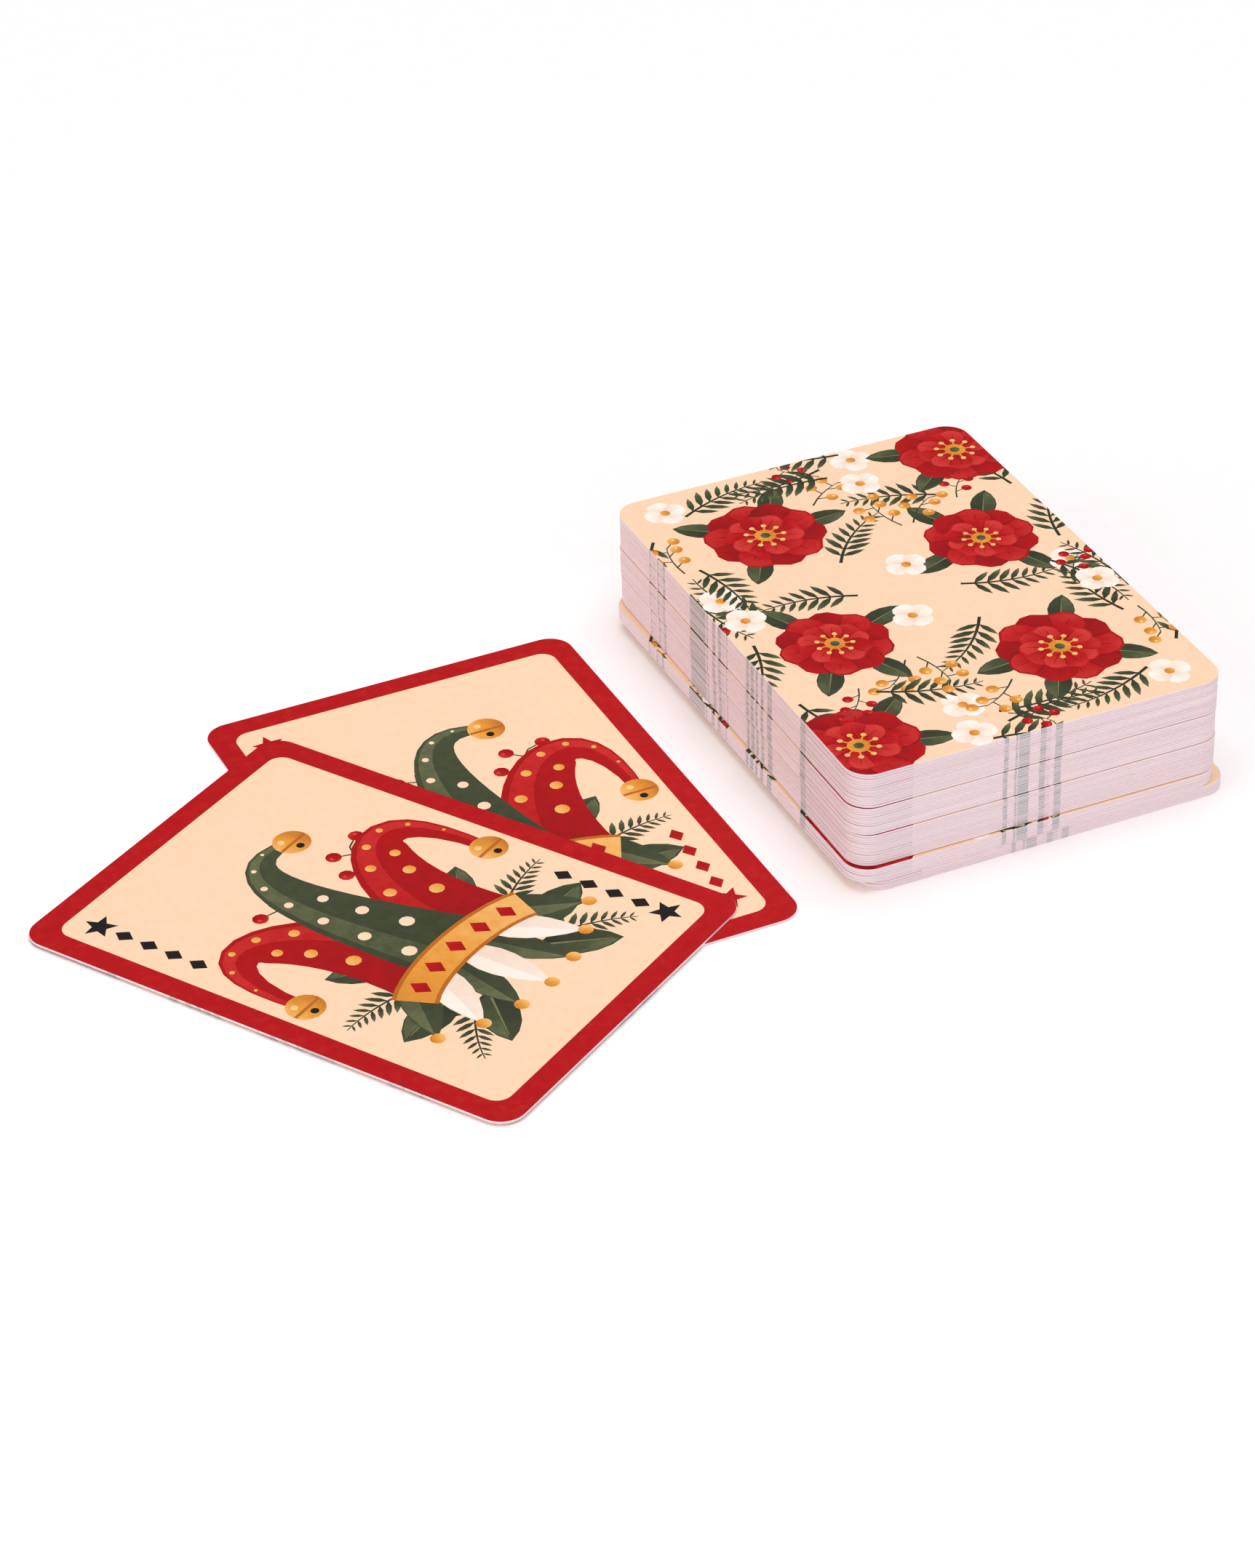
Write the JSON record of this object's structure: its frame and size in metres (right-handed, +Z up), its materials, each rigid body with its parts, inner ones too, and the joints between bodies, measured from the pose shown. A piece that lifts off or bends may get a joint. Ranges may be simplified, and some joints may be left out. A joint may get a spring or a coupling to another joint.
{
  "type": "playing card deck",
  "caption": "Deck of poker-size playing cards: a squared-up stack lying face down and its jokers lying face up beside it, overlapping; each card is loose and slides on the one below.",
  "frame": {"origin": "middle of the stack's footprint, on the table that the cards lie on", "axes": "+Z up, +X across the stack away from the jokers, +Y along the stack away from the dealer"},
  "size_m": [0.1792, 0.1161, 0.0208],
  "materials": {
    "card_stock": "coated board, printed, satin",
    "joker_stock": "coated board, printed, satin"
  },
  "bodies": {
    "ace_of_spades": {"ace_of_spades": "card_stock"},
    "two_of_spades": {"two_of_spades": "card_stock"},
    "three_of_spades": {"three_of_spades": "card_stock"},
    "four_of_spades": {"four_of_spades": "card_stock"},
    "five_of_spades": {"five_of_spades": "card_stock"},
    "six_of_spades": {"six_of_spades": "card_stock"},
    "seven_of_spades": {"seven_of_spades": "card_stock"},
    "eight_of_spades": {"eight_of_spades": "card_stock"},
    "nine_of_spades": {"nine_of_spades": "card_stock"},
    "ten_of_spades": {"ten_of_spades": "card_stock"},
    "jack_of_spades": {"jack_of_spades": "card_stock"},
    "queen_of_spades": {"queen_of_spades": "card_stock"},
    "king_of_spades": {"king_of_spades": "card_stock"},
    "ace_of_hearts": {"ace_of_hearts": "card_stock"},
    "two_of_hearts": {"two_of_hearts": "card_stock"},
    "three_of_hearts": {"three_of_hearts": "card_stock"},
    "four_of_hearts": {"four_of_hearts": "card_stock"},
    "five_of_hearts": {"five_of_hearts": "card_stock"},
    "six_of_hearts": {"six_of_hearts": "card_stock"},
    "seven_of_hearts": {"seven_of_hearts": "card_stock"},
    "eight_of_hearts": {"eight_of_hearts": "card_stock"},
    "nine_of_hearts": {"nine_of_hearts": "card_stock"},
    "ten_of_hearts": {"ten_of_hearts": "card_stock"},
    "jack_of_hearts": {"jack_of_hearts": "card_stock"},
    "queen_of_hearts": {"queen_of_hearts": "card_stock"},
    "king_of_hearts": {"king_of_hearts": "card_stock"},
    "ace_of_clubs": {"ace_of_clubs": "card_stock"},
    "two_of_clubs": {"two_of_clubs": "card_stock"},
    "three_of_clubs": {"three_of_clubs": "card_stock"},
    "four_of_clubs": {"four_of_clubs": "card_stock"},
    "five_of_clubs": {"five_of_clubs": "card_stock"},
    "six_of_clubs": {"six_of_clubs": "card_stock"},
    "seven_of_clubs": {"seven_of_clubs": "card_stock"},
    "eight_of_clubs": {"eight_of_clubs": "card_stock"},
    "nine_of_clubs": {"nine_of_clubs": "card_stock"},
    "ten_of_clubs": {"ten_of_clubs": "card_stock"},
    "jack_of_clubs": {"jack_of_clubs": "card_stock"},
    "queen_of_clubs": {"queen_of_clubs": "card_stock"},
    "king_of_clubs": {"king_of_clubs": "card_stock"},
    "ace_of_diamonds": {"ace_of_diamonds": "card_stock"},
    "two_of_diamonds": {"two_of_diamonds": "card_stock"},
    "three_of_diamonds": {"three_of_diamonds": "card_stock"},
    "four_of_diamonds": {"four_of_diamonds": "card_stock"},
    "five_of_diamonds": {"five_of_diamonds": "card_stock"},
    "six_of_diamonds": {"six_of_diamonds": "card_stock"},
    "seven_of_diamonds": {"seven_of_diamonds": "card_stock"},
    "eight_of_diamonds": {"eight_of_diamonds": "card_stock"},
    "nine_of_diamonds": {"nine_of_diamonds": "card_stock"},
    "ten_of_diamonds": {"ten_of_diamonds": "card_stock"},
    "jack_of_diamonds": {"jack_of_diamonds": "card_stock"},
    "queen_of_diamonds": {"queen_of_diamonds": "card_stock"},
    "king_of_diamonds": {"king_of_diamonds": "card_stock"},
    "red_joker": {"red_joker": "joker_stock"},
    "black_joker": {"black_joker": "joker_stock"}
  },
  "joints": [
    {"name": "two_of_spades_slide", "type": "slide", "parent": "ace_of_spades", "child": "two_of_spades", "axis": [1, 0, 0], "range_m": [0, 0.001]},
    {"name": "three_of_spades_slide", "type": "slide", "parent": "ace_of_spades", "child": "three_of_spades", "axis": [1, 0, 0], "range_m": [0, 0.002]},
    {"name": "four_of_spades_slide", "type": "slide", "parent": "ace_of_spades", "child": "four_of_spades", "axis": [1, 0, 0], "range_m": [0, 0.003]},
    {"name": "five_of_spades_slide", "type": "slide", "parent": "ace_of_spades", "child": "five_of_spades", "axis": [1, 0, 0], "range_m": [0, 0.004]},
    {"name": "six_of_spades_slide", "type": "slide", "parent": "ace_of_spades", "child": "six_of_spades", "axis": [1, 0, 0], "range_m": [0, 0.005]},
    {"name": "seven_of_spades_slide", "type": "slide", "parent": "ace_of_spades", "child": "seven_of_spades", "axis": [1, 0, 0], "range_m": [0, 0.006]},
    {"name": "eight_of_spades_slide", "type": "slide", "parent": "ace_of_spades", "child": "eight_of_spades", "axis": [1, 0, 0], "range_m": [0, 0.007]},
    {"name": "nine_of_spades_slide", "type": "slide", "parent": "ace_of_spades", "child": "nine_of_spades", "axis": [1, 0, 0], "range_m": [0, 0.008]},
    {"name": "ten_of_spades_slide", "type": "slide", "parent": "ace_of_spades", "child": "ten_of_spades", "axis": [1, 0, 0], "range_m": [0, 0.009]},
    {"name": "deck_spread", "type": "slide", "parent": "ace_of_spades", "child": "jack_of_spades", "axis": [1, 0, 0], "range_m": [0, 0.01]},
    {"name": "deck_cut", "type": "slide", "parent": "jack_of_spades", "child": "queen_of_spades", "axis": [0, 0, 1], "range_m": [0, 0.06]},
    {"name": "king_of_spades_slide", "type": "slide", "parent": "queen_of_spades", "child": "king_of_spades", "axis": [1, 0, 0], "range_m": [0, 0.001]},
    {"name": "ace_of_hearts_slide", "type": "slide", "parent": "queen_of_spades", "child": "ace_of_hearts", "axis": [1, 0, 0], "range_m": [0, 0.002]},
    {"name": "two_of_hearts_slide", "type": "slide", "parent": "queen_of_spades", "child": "two_of_hearts", "axis": [1, 0, 0], "range_m": [0, 0.003]},
    {"name": "three_of_hearts_slide", "type": "slide", "parent": "queen_of_spades", "child": "three_of_hearts", "axis": [1, 0, 0], "range_m": [0, 0.004]},
    {"name": "four_of_hearts_slide", "type": "slide", "parent": "queen_of_spades", "child": "four_of_hearts", "axis": [1, 0, 0], "range_m": [0, 0.005]},
    {"name": "five_of_hearts_slide", "type": "slide", "parent": "queen_of_spades", "child": "five_of_hearts", "axis": [1, 0, 0], "range_m": [0, 0.006]},
    {"name": "six_of_hearts_slide", "type": "slide", "parent": "queen_of_spades", "child": "six_of_hearts", "axis": [1, 0, 0], "range_m": [0, 0.007]},
    {"name": "seven_of_hearts_slide", "type": "slide", "parent": "queen_of_spades", "child": "seven_of_hearts", "axis": [1, 0, 0], "range_m": [0, 0.008]},
    {"name": "eight_of_hearts_slide", "type": "slide", "parent": "queen_of_spades", "child": "eight_of_hearts", "axis": [1, 0, 0], "range_m": [0, 0.009]},
    {"name": "nine_of_hearts_slide", "type": "slide", "parent": "queen_of_spades", "child": "nine_of_hearts", "axis": [1, 0, 0], "range_m": [0, 0.01]},
    {"name": "ten_of_hearts_slide", "type": "slide", "parent": "queen_of_spades", "child": "ten_of_hearts", "axis": [1, 0, 0], "range_m": [0, 0.011]},
    {"name": "jack_of_hearts_slide", "type": "slide", "parent": "queen_of_spades", "child": "jack_of_hearts", "axis": [1, 0, 0], "range_m": [0, 0.012]},
    {"name": "queen_of_hearts_slide", "type": "slide", "parent": "queen_of_spades", "child": "queen_of_hearts", "axis": [1, 0, 0], "range_m": [0, 0.013]},
    {"name": "king_of_hearts_slide", "type": "slide", "parent": "queen_of_spades", "child": "king_of_hearts", "axis": [1, 0, 0], "range_m": [0, 0.014]},
    {"name": "ace_of_clubs_slide", "type": "slide", "parent": "queen_of_spades", "child": "ace_of_clubs", "axis": [1, 0, 0], "range_m": [0, 0.015]},
    {"name": "two_of_clubs_slide", "type": "slide", "parent": "queen_of_spades", "child": "two_of_clubs", "axis": [1, 0, 0], "range_m": [0, 0.016]},
    {"name": "three_of_clubs_slide", "type": "slide", "parent": "queen_of_spades", "child": "three_of_clubs", "axis": [1, 0, 0], "range_m": [0, 0.017]},
    {"name": "four_of_clubs_slide", "type": "slide", "parent": "queen_of_spades", "child": "four_of_clubs", "axis": [1, 0, 0], "range_m": [0, 0.018]},
    {"name": "five_of_clubs_slide", "type": "slide", "parent": "queen_of_spades", "child": "five_of_clubs", "axis": [1, 0, 0], "range_m": [0, 0.019]},
    {"name": "six_of_clubs_slide", "type": "slide", "parent": "queen_of_spades", "child": "six_of_clubs", "axis": [1, 0, 0], "range_m": [0, 0.02]},
    {"name": "seven_of_clubs_slide", "type": "slide", "parent": "queen_of_spades", "child": "seven_of_clubs", "axis": [1, 0, 0], "range_m": [0, 0.021]},
    {"name": "eight_of_clubs_slide", "type": "slide", "parent": "queen_of_spades", "child": "eight_of_clubs", "axis": [1, 0, 0], "range_m": [0, 0.022]},
    {"name": "nine_of_clubs_slide", "type": "slide", "parent": "queen_of_spades", "child": "nine_of_clubs", "axis": [1, 0, 0], "range_m": [0, 0.023]},
    {"name": "ten_of_clubs_slide", "type": "slide", "parent": "queen_of_spades", "child": "ten_of_clubs", "axis": [1, 0, 0], "range_m": [0, 0.024]},
    {"name": "jack_of_clubs_slide", "type": "slide", "parent": "queen_of_spades", "child": "jack_of_clubs", "axis": [1, 0, 0], "range_m": [0, 0.025]},
    {"name": "queen_of_clubs_slide", "type": "slide", "parent": "queen_of_spades", "child": "queen_of_clubs", "axis": [1, 0, 0], "range_m": [0, 0.026]},
    {"name": "king_of_clubs_slide", "type": "slide", "parent": "queen_of_spades", "child": "king_of_clubs", "axis": [1, 0, 0], "range_m": [0, 0.027]},
    {"name": "ace_of_diamonds_slide", "type": "slide", "parent": "queen_of_spades", "child": "ace_of_diamonds", "axis": [1, 0, 0], "range_m": [0, 0.028]},
    {"name": "two_of_diamonds_slide", "type": "slide", "parent": "queen_of_spades", "child": "two_of_diamonds", "axis": [1, 0, 0], "range_m": [0, 0.029]},
    {"name": "three_of_diamonds_slide", "type": "slide", "parent": "queen_of_spades", "child": "three_of_diamonds", "axis": [1, 0, 0], "range_m": [0, 0.03]},
    {"name": "four_of_diamonds_slide", "type": "slide", "parent": "queen_of_spades", "child": "four_of_diamonds", "axis": [1, 0, 0], "range_m": [0, 0.031]},
    {"name": "five_of_diamonds_slide", "type": "slide", "parent": "queen_of_spades", "child": "five_of_diamonds", "axis": [1, 0, 0], "range_m": [0, 0.032]},
    {"name": "six_of_diamonds_slide", "type": "slide", "parent": "queen_of_spades", "child": "six_of_diamonds", "axis": [1, 0, 0], "range_m": [0, 0.033]},
    {"name": "seven_of_diamonds_slide", "type": "slide", "parent": "queen_of_spades", "child": "seven_of_diamonds", "axis": [1, 0, 0], "range_m": [0, 0.034]},
    {"name": "eight_of_diamonds_slide", "type": "slide", "parent": "queen_of_spades", "child": "eight_of_diamonds", "axis": [1, 0, 0], "range_m": [0, 0.035]},
    {"name": "nine_of_diamonds_slide", "type": "slide", "parent": "queen_of_spades", "child": "nine_of_diamonds", "axis": [1, 0, 0], "range_m": [0, 0.036]},
    {"name": "ten_of_diamonds_slide", "type": "slide", "parent": "queen_of_spades", "child": "ten_of_diamonds", "axis": [1, 0, 0], "range_m": [0, 0.037]},
    {"name": "jack_of_diamonds_slide", "type": "slide", "parent": "queen_of_spades", "child": "jack_of_diamonds", "axis": [1, 0, 0], "range_m": [0, 0.038]},
    {"name": "queen_of_diamonds_slide", "type": "slide", "parent": "queen_of_spades", "child": "queen_of_diamonds", "axis": [1, 0, 0], "range_m": [0, 0.039]},
    {"name": "top_card_deal", "type": "slide", "parent": "queen_of_diamonds", "child": "king_of_diamonds", "axis": [0, -1, 0], "range_m": [0, 0.042]},
    {"name": "red_joker_slide", "type": "slide", "parent": "ace_of_spades", "child": "red_joker", "axis": [-0.0175, 0.9998, 0], "range_m": [-0.03, 0.03]},
    {"name": "black_joker_slide", "type": "slide", "parent": "red_joker", "child": "black_joker", "axis": [0.5446, -0.8387, 0], "range_m": [-0.008, 0.02]}
  ],
  "couplings": [
    {"joint": "two_of_spades_slide", "follows": "deck_spread", "ratio": 0.1},
    {"joint": "three_of_spades_slide", "follows": "deck_spread", "ratio": 0.2},
    {"joint": "four_of_spades_slide", "follows": "deck_spread", "ratio": 0.3},
    {"joint": "five_of_spades_slide", "follows": "deck_spread", "ratio": 0.4},
    {"joint": "six_of_spades_slide", "follows": "deck_spread", "ratio": 0.5},
    {"joint": "seven_of_spades_slide", "follows": "deck_spread", "ratio": 0.6},
    {"joint": "eight_of_spades_slide", "follows": "deck_spread", "ratio": 0.7},
    {"joint": "nine_of_spades_slide", "follows": "deck_spread", "ratio": 0.8},
    {"joint": "ten_of_spades_slide", "follows": "deck_spread", "ratio": 0.9},
    {"joint": "king_of_spades_slide", "follows": "deck_spread", "ratio": 0.1},
    {"joint": "ace_of_hearts_slide", "follows": "deck_spread", "ratio": 0.2},
    {"joint": "two_of_hearts_slide", "follows": "deck_spread", "ratio": 0.3},
    {"joint": "three_of_hearts_slide", "follows": "deck_spread", "ratio": 0.4},
    {"joint": "four_of_hearts_slide", "follows": "deck_spread", "ratio": 0.5},
    {"joint": "five_of_hearts_slide", "follows": "deck_spread", "ratio": 0.6},
    {"joint": "six_of_hearts_slide", "follows": "deck_spread", "ratio": 0.7},
    {"joint": "seven_of_hearts_slide", "follows": "deck_spread", "ratio": 0.8},
    {"joint": "eight_of_hearts_slide", "follows": "deck_spread", "ratio": 0.9},
    {"joint": "nine_of_hearts_slide", "follows": "deck_spread", "ratio": 1},
    {"joint": "ten_of_hearts_slide", "follows": "deck_spread", "ratio": 1.1},
    {"joint": "jack_of_hearts_slide", "follows": "deck_spread", "ratio": 1.2},
    {"joint": "queen_of_hearts_slide", "follows": "deck_spread", "ratio": 1.3},
    {"joint": "king_of_hearts_slide", "follows": "deck_spread", "ratio": 1.4},
    {"joint": "ace_of_clubs_slide", "follows": "deck_spread", "ratio": 1.5},
    {"joint": "two_of_clubs_slide", "follows": "deck_spread", "ratio": 1.6},
    {"joint": "three_of_clubs_slide", "follows": "deck_spread", "ratio": 1.7},
    {"joint": "four_of_clubs_slide", "follows": "deck_spread", "ratio": 1.8},
    {"joint": "five_of_clubs_slide", "follows": "deck_spread", "ratio": 1.9},
    {"joint": "six_of_clubs_slide", "follows": "deck_spread", "ratio": 2},
    {"joint": "seven_of_clubs_slide", "follows": "deck_spread", "ratio": 2.1},
    {"joint": "eight_of_clubs_slide", "follows": "deck_spread", "ratio": 2.2},
    {"joint": "nine_of_clubs_slide", "follows": "deck_spread", "ratio": 2.3},
    {"joint": "ten_of_clubs_slide", "follows": "deck_spread", "ratio": 2.4},
    {"joint": "jack_of_clubs_slide", "follows": "deck_spread", "ratio": 2.5},
    {"joint": "queen_of_clubs_slide", "follows": "deck_spread", "ratio": 2.6},
    {"joint": "king_of_clubs_slide", "follows": "deck_spread", "ratio": 2.7},
    {"joint": "ace_of_diamonds_slide", "follows": "deck_spread", "ratio": 2.8},
    {"joint": "two_of_diamonds_slide", "follows": "deck_spread", "ratio": 2.9},
    {"joint": "three_of_diamonds_slide", "follows": "deck_spread", "ratio": 3},
    {"joint": "four_of_diamonds_slide", "follows": "deck_spread", "ratio": 3.1},
    {"joint": "five_of_diamonds_slide", "follows": "deck_spread", "ratio": 3.2},
    {"joint": "six_of_diamonds_slide", "follows": "deck_spread", "ratio": 3.3},
    {"joint": "seven_of_diamonds_slide", "follows": "deck_spread", "ratio": 3.4},
    {"joint": "eight_of_diamonds_slide", "follows": "deck_spread", "ratio": 3.5},
    {"joint": "nine_of_diamonds_slide", "follows": "deck_spread", "ratio": 3.6},
    {"joint": "ten_of_diamonds_slide", "follows": "deck_spread", "ratio": 3.7},
    {"joint": "jack_of_diamonds_slide", "follows": "deck_spread", "ratio": 3.8},
    {"joint": "queen_of_diamonds_slide", "follows": "deck_spread", "ratio": 3.9}
  ]
}
